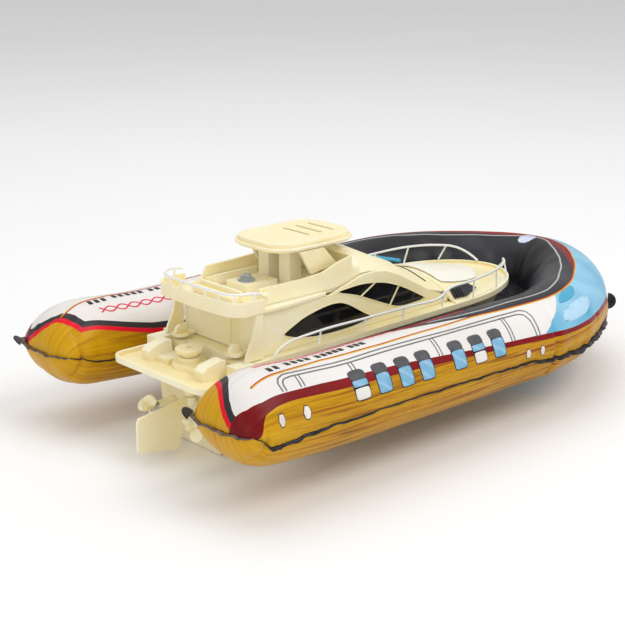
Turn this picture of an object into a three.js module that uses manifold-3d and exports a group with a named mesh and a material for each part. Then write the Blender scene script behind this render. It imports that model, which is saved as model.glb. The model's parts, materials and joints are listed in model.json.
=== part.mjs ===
// Inflatable toy boat: a U-shaped inflated float that carries a plastic motor yacht.
// Millimetres. +X is the bow, +Y is port, +Z is up. Heights in this file are measured
// from the underside of the float; the whole model is then raised so that the yacht's
// flat keel stands on z = 0.
import * as THREE from "three";
import { mergeVertices } from "three/addons/utils/BufferGeometryUtils.js";
import Module from "manifold-3d";

const wasm = await Module();
wasm.setup();

// ---------------------------------------------------------------- driving dimensions
const KEEL_DEPTH = 27; // the keel below the underside of the float
const GAP = 0.3; // clearance between pieces that touch on the real toy

const FLOAT = {
  aft: -279, // sealed ends of the pontoons
  bow: 271.6,
  radius: 37.5, // of the inflated tube
  offset: 120.5, // of each pontoon's centreline from the middle
  bowStart: 82, // where the pontoons begin to curve in
  bowPower: 1.63, // below 2 gives a bow that is slightly pointed
  endHalfWidth: 34, // of the sealed end of a pontoon
  endLength: 46, // over which a pontoon closes down to its sealed end
  endBend: 8, // how far the corners of a sealed end lie ahead of its middle
  ringPoints: 20,
  legRings: 9,
  endRings: 6,
  bowRings: 11,
};
const WEB = { thickness: 1.2, aft: -150, level: FLOAT.radius };
const TAB = { radius: 8, thickness: 1.2 };

const DECK = {
  aft: -190,
  tip: 160,
  halfAft: 61,
  halfMax: 67,
  level: 59, // top of the deck amidships
  rise: 0.0213, // of the deck for each millimetre towards the bow
  thickness: 2.4,
  rim: 2.6,
  rimHeight: 2.4,
};
const PLATFORM = { aft: -246, fore: -190.3, half: 63, floor: 44, thickness: 2.2, rim: 2.8, lip: 3.2 };
const HULL = { transom: -204, bow: 148, wall: 2.2 };
const CABIN = { aft: -176, half: 50, wall: 2.4, floor: 56 };
const FLY = { aft: -205, fore: -62, half: 54, inner: 45.2, corner: 15, level: 94, floor: 2.4, rim: 9, rimWidth: 3 };
const COAMING = { aft: -166, half: 45.2, wall: 2.4, base: FLY.level + FLY.floor + GAP };
const ROOF = { aft: -145, fore: -48, half: 36, level: 131, thickness: 7.5, corner: 25 };
const LIGHT = { x: -149, tableTop: 105, ringRadius: 7.4, domeRadius: 5.2, domeHeight: 8.5 };
const RAIL = { radius: 1.1, post: 0.9 };
const LATCH = { x: -191.5, y: 36, top: 58, grip: 6.2, thickness: 2.6, gripWidth: 3.2 };
const RUDDER = { x: -210, stock: 2.9, tube: 5, knobTop: 60, knobRadius: 11.8, blade: 2.4 };
const SCREW = { x: -231, y: 31, z: 5, radius: 13, blades: 3, hub: 3.2, length: 9 };
const SHAFT = { radius: 1.2, tube: 3 };
const MOTOR = { aft: -142, fore: -112, radius: 11.5 };
const TRAY = { aft: -96, fore: -6, half: 20, base: -23.5, wall: 1.6, height: 24 };

// ---------------------------------------------------------------- materials
const plastic = (color, roughness = 0.38) =>
  new THREE.MeshStandardMaterial({ color, roughness, metalness: 0 });
const ivory = plastic(0xf2e6c0);
const white = plastic(0xf4f3ee);
const black = plastic(0x0b0b0c, 0.12);
const darkGrey = plastic(0x3a3a3c, 0.5);
const foilInk = plastic(0xe9e4de, 0.25);
const foilBlack = plastic(0x1c1b1f, 0.25);
const clear = new THREE.MeshStandardMaterial({ color: 0xdfe8ef, roughness: 0.05, opacity: 0.35 });
const steel = new THREE.MeshStandardMaterial({ color: 0xb9bbbd, roughness: 0.3, metalness: 1 });
const green = plastic(0x1f6b3a, 0.45);
const blue = plastic(0x2a5db8, 0.35);

// ---------------------------------------------------------------- solid helpers
function solid(geometry) {
  const bare = geometry.index ? geometry.toNonIndexed() : geometry.clone();
  for (const name of Object.keys(bare.attributes)) {
    if (name !== "position") bare.deleteAttribute(name);
  }
  const merged = mergeVertices(bare, 1e-4);
  return new wasm.Manifold(
    new wasm.Mesh({
      numProp: 3,
      vertProperties: new Float32Array(merged.attributes.position.array),
      triVerts: new Uint32Array(merged.index.array),
    }),
  );
}

function geometryOf(manifold) {
  const made = manifold.getMesh();
  const geometry = new THREE.BufferGeometry();
  geometry.setAttribute("position", new THREE.BufferAttribute(made.vertProperties, 3));
  geometry.setIndex(new THREE.BufferAttribute(made.triVerts, 1));
  const flat = geometry.toNonIndexed();
  flat.computeVertexNormals();
  return flat;
}

const join = (...parts) => parts.map(solid).reduce((a, b) => a.add(b));
const cut = (body, ...tools) => tools.map(solid).reduce((a, b) => a.subtract(b), body);
const joined = (...parts) => geometryOf(join(...parts));

// A box from its lowest to its highest corner.
function block(low, high) {
  const size = high.map((v, i) => v - low[i]);
  const middle = high.map((v, i) => (v + low[i]) / 2);
  return new THREE.BoxGeometry(...size).translate(...middle);
}

// An upright cylinder or cone standing on `base`.
function drum(x, y, base, height, radius, top = radius, sides = 28) {
  const made = new THREE.CylinderGeometry(top, radius, height, sides);
  return made.rotateX(Math.PI / 2).translate(x, y, base + height / 2);
}

// A cylinder between two points.
function rod(from, to, radius, sides = 10) {
  const a = new THREE.Vector3(...from);
  const b = new THREE.Vector3(...to);
  const along = b.clone().sub(a);
  const made = new THREE.CylinderGeometry(radius, radius, along.length(), sides);
  const turn = new THREE.Quaternion().setFromUnitVectors(
    new THREE.Vector3(0, 1, 0),
    along.clone().normalize(),
  );
  return made.applyQuaternion(turn).translate(...a.add(b).multiplyScalar(0.5).toArray());
}

// A plan outline (x, y) made into a slab that stands on `base`.
function slab(shape, base, height) {
  const made = new THREE.ExtrudeGeometry(shape, { depth: height, bevelEnabled: false });
  return made.translate(0, 0, base);
}

// A side outline (x, z) made into a plate between y = low and y = high.
function plate(shape, low, high) {
  const made = new THREE.ExtrudeGeometry(shape, { depth: high - low, bevelEnabled: false });
  return made.rotateX(Math.PI / 2).translate(0, high, 0);
}

const polygon = (points) => new THREE.Shape(points.map((p) => new THREE.Vector2(...p)));

// A smooth closed or open outline through hand-placed points, as a polygon.
function smooth(points, steps = 24) {
  const curve = new THREE.CatmullRomCurve3(
    points.map((p) => new THREE.Vector3(p[0], p[1], 0)),
    true,
    "centripetal",
  );
  return polygon(curve.getSpacedPoints(steps).slice(0, -1).map((p) => [p.x, p.y]));
}

// A rectangle in plan with rounded corners.
function roundedRect(x0, x1, half, corner, steps = 5) {
  const points = [];
  const corners = [
    [x1 - corner, half - corner, 0],
    [x0 + corner, half - corner, 1],
    [x0 + corner, -half + corner, 2],
    [x1 - corner, -half + corner, 3],
  ];
  for (const [cx, cy, quarter] of corners) {
    for (let i = 0; i <= steps; i += 1) {
      const angle = ((quarter + i / steps) * Math.PI) / 2;
      points.push([cx + corner * Math.cos(angle), cy + corner * Math.sin(angle)]);
    }
  }
  return polygon(points);
}

// A skin over rings of points; each ring has the same count. Both ends are capped, in
// strips across the ring from its first and last points, so that an arched ring stays hollow.
function skin(rings) {
  const count = rings[0].length;
  const points = rings.flat();
  const faces = [];
  for (let r = 0; r + 1 < rings.length; r += 1) {
    for (let i = 0; i < count; i += 1) {
      const a = r * count + i;
      const b = r * count + ((i + 1) % count);
      faces.push(a, b, b + count, a, b + count, a + count);
    }
  }
  const last = (rings.length - 1) * count;
  const cap = (a, b, c) => faces.push(a, c, b, last + a, last + b, last + c);
  for (let low = 0, high = count - 1; high - low > 1; low += 1, high -= 1) {
    cap(low, low + 1, high);
    if (high - low > 2) cap(low + 1, high - 1, high);
  }
  const geometry = new THREE.BufferGeometry();
  geometry.setAttribute("position", new THREE.Float32BufferAttribute(points.flat(), 3));
  geometry.setIndex(faces);
  return geometry;
}

const mirrored = (geometry) => {
  const copy = (geometry.index ? geometry.toNonIndexed() : geometry.clone()).scale(1, -1, 1);
  const p = copy.attributes.position.array;
  for (let i = 0; i < p.length; i += 9) {
    for (let k = 0; k < 3; k += 1) [p[i + 3 + k], p[i + 6 + k]] = [p[i + 6 + k], p[i + 3 + k]];
  }
  copy.computeVertexNormals();
  return copy;
};

const boat = new THREE.Group();
boat.name = "inflatable_toy_boat";
const hoist = new THREE.Group();
hoist.position.z = KEEL_DEPTH;
boat.add(hoist);

function piece(name, geometry, material) {
  const mesh = new THREE.Mesh(geometry, material);
  mesh.name = name;
  hoist.add(mesh);
}

// The port piece as given, and its mirror image to starboard.
function pair(name, geometry, material) {
  piece(`${name}_port`, geometry, material);
  piece(`${name}_starboard`, mirrored(geometry), material);
}

const deckLevel = (x) => DECK.level + DECK.rise * x;

// ---------------------------------------------------------------- inflated float
// The centreline runs from the starboard end round the bow to the port end.
function floatStations() {
  const { aft, bow, radius, offset, bowStart, bowPower, endHalfWidth, endLength, endBend } = FLOAT;
  const leg = [];
  for (let i = 0; i <= FLOAT.endRings; i += 1) {
    const t = i / FLOAT.endRings;
    const s = endLength * (1 - Math.cos((t * Math.PI) / 2));
    const closing = 1 - s / endLength;
    const high = Math.max(1.2, radius * Math.sqrt(1 - closing * closing));
    const wide = endHalfWidth + (radius - endHalfWidth) * Math.sqrt(1 - closing ** 3);
    leg.push({ x: aft + s, y: offset, wide, high, bend: endBend * closing });
  }
  for (let i = 1; i < FLOAT.legRings; i += 1) {
    const x = aft + endLength + ((bowStart - aft - endLength) * i) / FLOAT.legRings;
    leg.push({ x, y: offset, wide: radius, high: radius, bend: 0 });
  }
  const reach = bow - radius - bowStart;
  for (let i = 0; i < FLOAT.bowRings; i += 1) {
    const angle = (i / FLOAT.bowRings) * (Math.PI / 2);
    leg.push({
      x: bowStart + reach * Math.sin(angle) ** (2 / bowPower),
      y: offset * Math.cos(angle) ** (2 / bowPower),
      wide: radius,
      high: radius,
      bend: 0,
    });
  }
  const tip = { x: bow - radius, y: 0, wide: radius, high: radius, bend: 0 };
  const starboard = leg.map((s) => ({ ...s, y: -s.y }));
  return [...starboard, tip, ...leg.reverse()];
}

function floatTube() {
  const stations = floatStations();
  const rings = stations.map((s, i) => {
    const before = stations[Math.max(i - 1, 0)];
    const after = stations[Math.min(i + 1, stations.length - 1)];
    const along = new THREE.Vector2(after.x - before.x, after.y - before.y).normalize();
    const ring = [];
    for (let k = 0; k < FLOAT.ringPoints; k += 1) {
      const angle = (k / FLOAT.ringPoints) * 2 * Math.PI;
      const out = s.wide * Math.cos(angle);
      const ahead = s.bend * Math.abs(Math.cos(angle)) ** 4;
      const high = FLOAT.radius + s.high * Math.sin(angle);
      ring.push([s.x + ahead - along.y * out, s.y + along.x * out, high]);
    }
    return ring;
  });
  return skin(rings);
}

// ---------------------------------------------------------------- outlines of the yacht
// Half-breadth of the deck at x: nearly parallel sides, then a full rounded bow.
function deckHalf(x, inset = 0) {
  const shoulder = 58;
  const tip = DECK.tip - inset;
  if (x >= tip) return 0;
  if (x < shoulder) {
    const t = (x - PLATFORM.aft) / (shoulder - PLATFORM.aft);
    return DECK.halfAft + (DECK.halfMax - DECK.halfAft) * Math.sin((t * Math.PI) / 2) - inset;
  }
  const t = (x - shoulder) / (tip - shoulder);
  return (DECK.halfMax - inset) * Math.sqrt(1 - t ** 2);
}

function deckOutline(aft, inset = 0, steps = 26) {
  const side = [];
  for (let i = 0; i < steps; i += 1) {
    const t = i / steps;
    const x = aft + (DECK.tip - inset - aft) * Math.sin((t * Math.PI) / 2);
    side.push([x, deckHalf(x, inset)]);
  }
  const starboard = side.map(([x, y]) => [x, -y]);
  return polygon([...starboard, [DECK.tip - inset, 0], ...side.reverse()]);
}

// Shears a level slab so that it follows the rise of the deck.
function alongDeck(geometry) {
  const p = geometry.attributes.position;
  for (let i = 0; i < p.count; i += 1) p.setZ(i, p.getZ(i) + DECK.rise * p.getX(i));
  return geometry;
}

// ---------------------------------------------------------------- lower hull
// A section of the hull at x, from the keel round the port side to the starboard side.
function hullSection(x, wall) {
  const fore = Math.max(0, (x - 20) / (HULL.bow - 20));
  const fine = 1 - fore ** 2;
  const top = deckLevel(x) - DECK.thickness - GAP + (wall ? 3 : 0);
  const atTop = Math.max(deckHalf(x, 7) - wall, 1.5);
  const chine = Math.max((46 - wall) * fine ** 0.6, 1.2);
  const keel = Math.max((30 - wall) * fine, 0.8);
  const keelLevel = -KEEL_DEPTH + wall + 34 * fore ** 3;
  const chineLevel = -14 + wall * 0.6 + 42 * fore ** 2;
  return [
    [x, keel, keelLevel],
    [x, chine, chineLevel],
    [x, (chine + atTop) / 2, (chineLevel + top) / 2],
    [x, atTop, top],
    [x, -atTop, top],
    [x, -(chine + atTop) / 2, (chineLevel + top) / 2],
    [x, -chine, chineLevel],
    [x, -keel, keelLevel],
  ];
}

// Half-breadth of the hull at x and at a level above its chine.
function hullHalfAt(x, level) {
  const [, , low, high] = hullSection(x, 0);
  return low[1] + ((high[1] - low[1]) * (level - low[2])) / (high[2] - low[2]);
}

function hullLoft(aft, bow, wall) {
  const rings = [];
  const steps = 14;
  for (let i = 0; i <= steps; i += 1) {
    const t = i / steps;
    rings.push(hullSection(aft + (bow - aft) * t, wall));
  }
  return skin(rings);
}

function lowerHull() {
  const outside = solid(hullLoft(HULL.transom, HULL.bow, 0));
  const room = hullLoft(HULL.transom + HULL.wall, HULL.bow - 6, HULL.wall);
  const tubes = [1, -1].map((side) => shaftLine(SHAFT.tube + GAP, -260, -180, side));
  const seatLevel = PLATFORM.floor - PLATFORM.thickness - GAP;
  const platformSeat = block([-300, -90, seatLevel], [PLATFORM.fore + GAP, 90, 90]);
  return geometryOf(cut(outside, room, platformSeat, ...tubes));
}

// A cylinder on the line of a propeller shaft, between two places along X.
function shaftLine(radius, aft, fore, side = 1, sides = 14) {
  return rod([aft, side * SCREW.y, SCREW.z], [fore, side * SCREW.y, SCREW.z], radius, sides);
}
piece("lower_hull", lowerHull(), ivory);

// ---------------------------------------------------------------- float and its web
piece("inflatable_hull", floatTube(), foilInk);

const innerWall = FLOAT.offset - FLOAT.radius;
const webLow = WEB.level - WEB.thickness / 2;
const hullHalfAtWeb = 56;
pair(
  "side_web",
  block([WEB.aft, hullHalfAtWeb + GAP, webLow], [60, innerWall - GAP, webLow + WEB.thickness]),
  foilBlack,
);

// The outward side of the bow at each station of its starboard half.
function bowStations() {
  const stations = floatStations();
  return stations.slice(1, -1).flatMap((s, i) => {
    if (s.x < FLOAT.bowStart) return [];
    const before = stations[i];
    const after = stations[i + 2];
    const along = new THREE.Vector2(after.x - before.x, after.y - before.y).normalize();
    return [{ x: s.x, y: s.y, out: [along.y, -along.x] }];
  });
}

function bowWebOutline() {
  const reach = -(FLOAT.radius + 3 * GAP);
  const aft = 60 + GAP;
  const outside = bowStations()
    .map((s) => [s.x + s.out[0] * reach, s.y + s.out[1] * reach, s.y])
    .filter(([x, y, side]) => x > aft + 1 && y * side >= 0)
    .map(([x, y]) => [x, y]);
  const edge = innerWall - 3 * GAP;
  const inside = [];
  for (const x of [aft, 80, 100, 118, 132, 142]) inside.push([x, hullHalfAt(x, webLow) + 1.5]);
  inside.push([HULL.bow + 1.5, 14], [HULL.bow + 1.5, 0]);
  const starboard = inside.slice(0, -1).map(([x, y]) => [x, -y]).reverse();
  return polygon([[aft, -edge], ...outside, [aft, edge], ...inside, ...starboard]);
}
piece("bow_web", slab(bowWebOutline(), webLow, WEB.thickness), foilBlack);

// A half-round tab on the sealed edge, at (x, y) and pointing along `angle`. It is turned about
// that direction by `twist` and its tip is lifted by `tilt`.
function tab(x, y, angle, twist = 0, tilt = 0, raise = 0) {
  const shape = new THREE.Shape();
  shape.absarc(0, 0, TAB.radius, -Math.PI / 2, Math.PI / 2, false);
  const made = new THREE.ExtrudeGeometry(shape, {
    depth: TAB.thickness,
    bevelEnabled: false,
    curveSegments: 8,
  });
  made.translate(0, 0, -TAB.thickness / 2).rotateX(twist).rotateY(-tilt);
  return made.rotateZ(angle).translate(x, y, FLOAT.radius + raise);
}
const inboardTab = { x: FLOAT.aft + 5.2, y: -FLOAT.offset + FLOAT.endHalfWidth + 1.6, angle: 2.2 };
const outboardTab = { x: FLOAT.aft + 3, y: FLOAT.offset + FLOAT.endHalfWidth - 1, angle: 2.5 };
piece("tab_starboard", tab(inboardTab.x, inboardTab.y, inboardTab.angle, 0, 0.7, 4), foilBlack);
piece("tab_port", tab(outboardTab.x, outboardTab.y, outboardTab.angle, 0, 0.7, 4), foilBlack);

function bowTab() {
  const { x, y, out } = bowStations()[6];
  const reach = FLOAT.radius + 3 * GAP;
  return tab(x + out[0] * reach, y + out[1] * reach, Math.atan2(out[1], out[0]), Math.PI / 2);
}
piece("tab_bow", bowTab(), foilBlack);

// ---------------------------------------------------------------- decks
function mainDeck() {
  const under = DECK.level - DECK.thickness;
  const tray = solid(alongDeck(slab(deckOutline(DECK.aft), under, DECK.thickness + DECK.rimHeight)));
  const inside = slab(deckOutline(DECK.aft - 20, DECK.rim), DECK.level, 20);
  const riserFoot = PLATFORM.floor - PLATFORM.thickness;
  const riser = block([DECK.aft, -48, riserFoot], [DECK.aft + DECK.thickness, 48, deckLevel(DECK.aft) - 1]);
  return geometryOf(cut(tray, alongDeck(inside)).add(solid(riser)));
}
piece("main_deck", mainDeck(), ivory);

const platformOutline = (inset = 0) =>
  roundedRect(PLATFORM.aft + inset, 0, PLATFORM.half - inset, 13 - inset);

// A box given for the port side, put on either side.
function across(side, low, high) {
  const [near, far] = side > 0 ? [low[1], high[1]] : [-high[1], -low[1]];
  return block([low[0], near, low[2]], [high[0], far, high[2]]);
}

// An upright block beside the rudder, sloping down aft.
function cheek(side) {
  const { floor } = PLATFORM;
  const outline = polygon([[-228, floor - 1], [-205, floor - 1], [-205, 58], [-209, 59], [-224, 55.5],
    [-228, 52]]);
  return side > 0 ? plate(outline, 30, 41.5) : plate(outline, -41.5, -30);
}

function swimPlatform() {
  const { fore, floor, thickness, lip, rim } = PLATFORM;
  const tray = solid(slab(platformOutline(), floor - thickness, thickness + lip));
  const well = slab(platformOutline(rim), floor, 30);
  const ahead = block([fore, -90, 0], [100, 90, 90]);
  const stockHole = drum(RUDDER.x, 0, 0, 90, RUDDER.stock + GAP);
  const sides = [1, -1].flatMap((side) => [
    drum(LATCH.x, side * LATCH.y, floor - 1, LATCH.top - floor - 2, 6.5),
    cheek(side),
    across(side, [-222, 14, floor - 1], [-196, 30.5, floor + 4]),
    across(side, [-209, 47, floor - 1], [fore - GAP, 60.5, 56]),
  ]);
  const collar = drum(RUDDER.x, 0, floor - 1, 5.5, 15, 14);
  const bush = drum(RUDDER.x, 0, floor, 8.5, 9.6, 9.2);
  const sleeve = drum(RUDDER.x, 0, 19, floor - 20, RUDDER.tube);
  const whole = [...sides, collar, bush, sleeve].map(solid);
  const made = whole.reduce((a, b) => a.add(b), cut(tray, well, ahead));
  return geometryOf(cut(made, stockHole, block([fore, -90, 0], [100, 90, 90])));
}
piece("swim_platform", swimPlatform(), ivory);

// ---------------------------------------------------------------- cabin
const cabinOutline = [
  [CABIN.aft, CABIN.floor], [CABIN.aft, 93.4], [-120, 93.4], [-100, 93.4], [-62, 104], [-48, 104.5],
  [-35, 102.5], [-18, 96], [0, 86], [20, 75], [40, 67], [44, 66], [44, 61],
];
const mainWindow = [
  [-151, 70], [-139, 76.5], [-127, 81], [-107, 85], [-92, 85.5], [-80, 82], [-62, 71.5], [-50, 64],
  [-61, 61.6], [-72, 60.2], [-91, 59.6], [-108, 60], [-127, 62], [-141, 65.2],
];
const upperWindow = [
  [-91, 94], [-76, 96.2], [-60, 96.3], [-45, 94.5], [-32, 91.5], [-16, 85.5], [0, 77.5], [15, 68.5],
  [2, 66.8], [-12, 66.6], [-23, 68.5], [-35, 73], [-52, 80], [-69, 87],
];
const grow = (points, by) => {
  const cx = points.reduce((t, p) => t + p[0], 0) / points.length;
  const cz = points.reduce((t, p) => t + p[1], 0) / points.length;
  return points.map(([x, z]) => {
    const reach = Math.hypot(x - cx, z - cz);
    return [x + ((x - cx) / reach) * by, z + ((z - cz) / reach) * by];
  });
};

function cabinSide() {
  const { half, wall } = CABIN;
  const bottom = cabinOutline.length - 1;
  const raised = cabinOutline.map(([x, z], i) => {
    const onDeck = i === 0 || i === bottom;
    return [x, onDeck ? deckLevel(x) + GAP : z];
  });
  const panel = solid(plate(polygon(raised), half - wall, half));
  const holes = [mainWindow, upperWindow].map((w) => plate(smooth(w, 40), half - 9, half + 9));
  const bar = (foot, head) => rod([foot[0], half - 0.9, foot[1]], [head[0], half - 0.9, head[1]], 0.8, 8);
  const bars = [bar([-66, 84], [-44, 96]), bar([-30, 69], [-17, 88])].map(solid);
  return geometryOf(bars.reduce((a, b) => a.add(b), cut(panel, ...holes)));
}
pair("cabin_side", cabinSide(), ivory);

const paneOut = CABIN.half - CABIN.wall - GAP;
pair("main_window", plate(smooth(grow(mainWindow, 1.6), 36), paneOut - 1.4, paneOut), black);
pair("upper_window", plate(smooth(grow(upperWindow, 2), 36), paneOut - 1.4, paneOut), black);

// The bridge front and the coachroof ahead of it are crowned mouldings. Each section of the
// bridge front has a place x, its level at the sides and its level in the middle.
const CROWN = { wall: 2.6, sideHalf: 45, joint: 44.3, end: 140, points: 8 };
const bridgeSections = [
  [-61, 104.2, 124], [-52, 104.3, 122], [-43, 103.2, 118], [-27, 99.3, 111], [-11, 91.6, 104],
  [7, 82, 97], [15, 77.8, 91], [25, 73.4, 86.5], [36, 70.4, 83], [CROWN.joint - GAP, 68.6, 80.6],
];
const foredeckMiddle = [
  [CROWN.joint, 80.6], [60, 78], [80, 74.6], [100, 70.6], [112, 68.3], [124, 66], [132, 64.4],
  [CROWN.end, 63],
];
const footLevel = (x) => deckLevel(x) + GAP;

// A section rounded between its sides and its middle; `square` above 2 flattens the top.
function crownRing(x, half, side, middle, square, inner) {
  const { points } = CROWN;
  const over = [];
  const under = [];
  for (let k = 0; k <= points; k += 1) {
    const u = 1 - (2 * k) / points;
    const rise = 1 - Math.abs(u) ** square;
    over.push([x, half * u, side + (middle - side) * rise]);
    under.unshift([x, half * inner.narrow * u, inner.side + (inner.middle - inner.side) * rise]);
  }
  return [...over, ...under];
}

function cabinFront() {
  const { wall, sideHalf } = CROWN;
  const rings = bridgeSections.map(([x, side, middle]) => {
    const square = 2 + 2 * Math.max(0, (-20 - x) / 41);
    const inner = { narrow: 0.97, side: side - wall, middle: middle - wall };
    return crownRing(x, sideHalf, side, middle, square, inner);
  });
  return skin(rings);
}
piece("cabin_front", cabinFront(), ivory);

function coachroof() {
  const rings = foredeckMiddle.map(([x, middle]) => {
    const foot = footLevel(x);
    const hollow = Math.max(0.2, middle - foot - CROWN.wall);
    const inner = { narrow: 0.92, side: foot, middle: foot + hollow };
    return crownRing(x, deckHalf(x, 7), foot, middle, 2, inner);
  });
  return skin(rings);
}
piece("coachroof", coachroof(), ivory);

// Level of the coachroof at a point.
function foredeckAt(x, y) {
  const next = Math.max(1, foredeckMiddle.findIndex(([station]) => station >= x));
  const [[x0, z0], [x1, z1]] = [foredeckMiddle[next - 1], foredeckMiddle[next]];
  const middle = z0 + ((z1 - z0) * (x - x0)) / (x1 - x0);
  const rise = 1 - (y / deckHalf(x, 7)) ** 2;
  return footLevel(x) + (middle - footLevel(x)) * rise;
}

// A pad that follows the crown of the coachroof: [x, half-breadth] along it.
function sunpad() {
  const plan = [[50, 30], [52, 35], [66, 37.5], [84, 37], [102, 32], [114, 22], [122, 12], [126, 4]];
  const lift = GAP + 0.3;
  const rings = plan.map(([x, half]) => {
    const over = [];
    const under = [];
    for (let k = 0; k <= 8; k += 1) {
      const y = half * (1 - k / 4);
      const low = foredeckAt(x, y) + lift;
      over.push([x, y, low + (k === 0 || k === 8 ? 0.5 : 1.8)]);
      under.unshift([x, y, low]);
    }
    return [...over, ...under];
  });
  return skin(rings);
}
piece("sunpad", sunpad(), white);

function rearBulkhead() {
  const { aft, half, wall } = CABIN;
  const low = deckLevel(aft) + GAP + 0.4;
  const inner = half - wall - GAP;
  const panel = solid(block([aft, -inner, low], [aft + 2.4, inner, FLY.level - GAP]));
  return geometryOf(cut(panel, block([aft - 1, -23, low + 3], [aft + 1.2, -11, FLY.level - 5])));
}
piece("rear_bulkhead", rearBulkhead(), ivory);

const finOutline = [[-195, 56.2], [-193, 63], [-187, 74], [-182, 93.4], [-176.3, 93.4], [-176.3, 56.2]];
pair("side_fin", plate(polygon(finOutline), 51.5, 54), ivory);

// A thin panel laid on the coachroof: plan corners in order round the panel.
function foredeckPanel(corners, thickness) {
  const low = [...corners].reverse().map(([x, y]) => [x, y, foredeckAt(x, y) + GAP + 0.9]);
  const high = low.map(([x, y, z]) => [x, y, z + thickness]);
  return skin([low, high]);
}

// Louvres and a dark panel ahead of them, joined by a thin frame.
function ventGrille() {
  const frame = [[46, 57], [62, 57.5], [82, 50.5], [78, 43.5], [50, 46.5]];
  const bars = [0, 1, 2, 3].map((i) => {
    const aft = 47 + 3.6 * i;
    return foredeckPanel([[aft, 56.4], [aft + 1.8, 56.4], [aft + 5.4, 47.6], [aft + 3.6, 47.6]], 1.5);
  });
  return joined(foredeckPanel(frame, 0.7), ...bars);
}
pair("vent_grille", ventGrille(), black);

// ---------------------------------------------------------------- flying bridge
function flybridgeDeck() {
  const { aft, fore, half, inner, corner, level, floor, rim, rimWidth } = FLY;
  const outline = (inset) => {
    const points = [[fore, inner - inset], [-104, inner - inset], [-105, half - 4 - inset],
      [-150, half - inset]];
    const turn = corner - inset;
    for (let i = 0; i <= 6; i += 1) {
      const angle = (i / 6) * (Math.PI / 2);
      points.push([aft + corner - turn * Math.sin(angle), half - corner + turn * Math.cos(angle)]);
    }
    points.push([aft + inset - 1.6, 18], [aft + inset - 2, 0]);
    const starboard = points.slice(0, -1).map(([x, y]) => [x, -y]).reverse();
    return polygon([...points, ...starboard]);
  };
  const tray = solid(slab(outline(0), level, floor + rim));
  const well = slab(outline(rimWidth), level + floor, 40);
  const lowSides = block([COAMING.aft - 8, -90, level + floor], [10, 90, 140]);
  return geometryOf(cut(tray, well, lowSides));
}
piece("flybridge_deck", flybridgeDeck(), ivory);

// Side coamings that climb towards the screen, joined across the front by the hood.
function coaming() {
  const { aft, half, wall, base } = COAMING;
  const side = [[aft, base], [aft + 9, 110.5], [-130, 111], [-104, 112.5], [-86, 118.5], [-72, 121.5],
    [-63, base + 9], [-63, base]];
  const panels = [half - wall, -half].map((y) => plate(polygon(side), y, y + wall));
  const hood = plate(polygon([[-72, 121.5], [-61.4, 123], [-61.4, base], [-64, base]]), -half, half);
  const shoulder = [-1, 1].map((side) => polygon([[side * 46, 130], [side * 46, 108], [side * 43, 113],
    [side * 36, 119.5], [side * 26, 122.2], [side * 20, 130]]));
  const chamfers = shoulder.map((shape) => new THREE.ExtrudeGeometry(shape, { depth: 10, bevelEnabled: false })
    .rotateX(Math.PI / 2).rotateZ(Math.PI / 2).translate(-71, 0, 0));
  return geometryOf(cut(join(...panels, hood), ...chamfers));
}
piece("flybridge_coaming", coaming(), ivory);

const seatBase = FLY.level + FLY.floor + GAP;
pair("side_seat", joined(
  block([-160, 30, seatBase], [-112, 42.4, seatBase + 5]),
  block([-160, 28, seatBase], [-114, 30.4, seatBase + 9]),
), ivory);
piece("aft_seat", joined(
  block([-186, -26, seatBase], [-176, 26, seatBase + 5]),
  block([-176.4, -26, seatBase], [-174, 26, seatBase + 9]),
), ivory);

function lightTable() {
  const top = LIGHT.tableTop;
  const desk = solid(block([-160, -13, seatBase], [-126, 13, top]));
  return geometryOf(cut(desk, drum(LIGHT.x, 0, top - 4, 10, LIGHT.ringRadius - 1.4)));
}
piece("light_table", lightTable(), ivory);

function ring(x, y, base, height, inner, outer) {
  return geometryOf(cut(solid(drum(x, y, base, height, outer)), drum(x, y, base - 1, height + 2, inner)));
}
piece(
  "light_ring",
  ring(LIGHT.x, 0, LIGHT.tableTop + GAP, 1.2, LIGHT.domeRadius + GAP, LIGHT.ringRadius),
  clear,
);

function dome() {
  const { domeRadius, domeHeight } = LIGHT;
  const straight = domeHeight - domeRadius;
  const profile = [new THREE.Vector2(0, 0), new THREE.Vector2(domeRadius, 0)];
  for (let i = 0; i <= 6; i += 1) {
    const angle = (i / 6) * (Math.PI / 2);
    const r = i === 6 ? 0 : domeRadius * Math.cos(angle);
    profile.push(new THREE.Vector2(r, straight + domeRadius * Math.sin(angle)));
  }
  const made = new THREE.LatheGeometry(profile, 24);
  return made.rotateX(Math.PI / 2).translate(LIGHT.x, 0, LIGHT.tableTop - 2);
}
piece("light_dome", dome(), clear);
piece("light_emitter", drum(LIGHT.x, 0, LIGHT.tableTop - 3.6, 1.3, 2.6), blue);

// ---------------------------------------------------------------- hardtop
function hardtop() {
  const { aft, fore, half, level, thickness, corner } = ROOF;
  const layer = (inset, base, height) =>
    slab(roundedRect(aft + inset, fore - inset, half - inset, corner - inset, 6), base, height);
  const body = join(layer(2, level, 2.6), layer(0, level + 1.5, 2.5), layer(3, level + 3.5, thickness - 3.5));
  const slots = [-96, -82, -68].map((x) => block([x, -17, level - 5], [x + 3.4, 17, level + 20]));
  return geometryOf(cut(body, ...slots));
}
piece("hardtop", hardtop(), ivory);

const postTop = ROOF.level - GAP;
pair("roof_post", block([-119, 7, seatBase], [-106, 20, postTop]), ivory);
const pillarOutline = [[-120, postTop], [-94, postTop], [-79, 114.5], [-108, 110]];
pair("side_pillar", plate(polygon(pillarOutline), 32.5, 35.5), ivory);

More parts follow.
